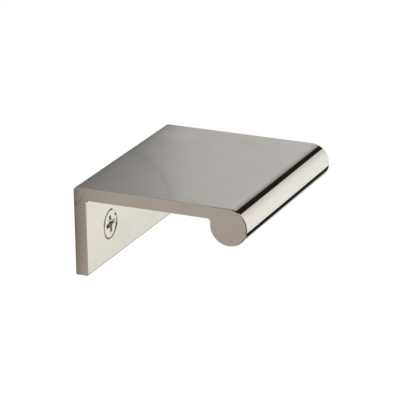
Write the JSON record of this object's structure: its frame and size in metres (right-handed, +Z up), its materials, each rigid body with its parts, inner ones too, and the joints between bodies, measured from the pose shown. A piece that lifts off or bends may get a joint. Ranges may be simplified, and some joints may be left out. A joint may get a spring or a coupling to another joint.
{
  "type": "tab pull",
  "caption": "Tab pull for a drawer or cabinet door: a screw plate bent into a flat tab with a round bead along its front edge, held by countersunk screws.",
  "frame": {"origin": "on the back face of the screw plate, midway between the two screw axes", "axes": "+X along the length of the pull, +Y into the drawer front that it is screwed to (the bead is on the -Y side, towards the hand), +Z up, with the tab above the screws"},
  "size_m": [0.0508, 0.0493, 0.0222],
  "materials": {
    "pull_plating": "solid brass, polished nickel plate",
    "screw_plating": "steel, polished nickel plate"
  },
  "bodies": {
    "root": {"pull_body": "pull_plating", "mounting_screws": "screw_plating"}
  },
  "joints": []
}
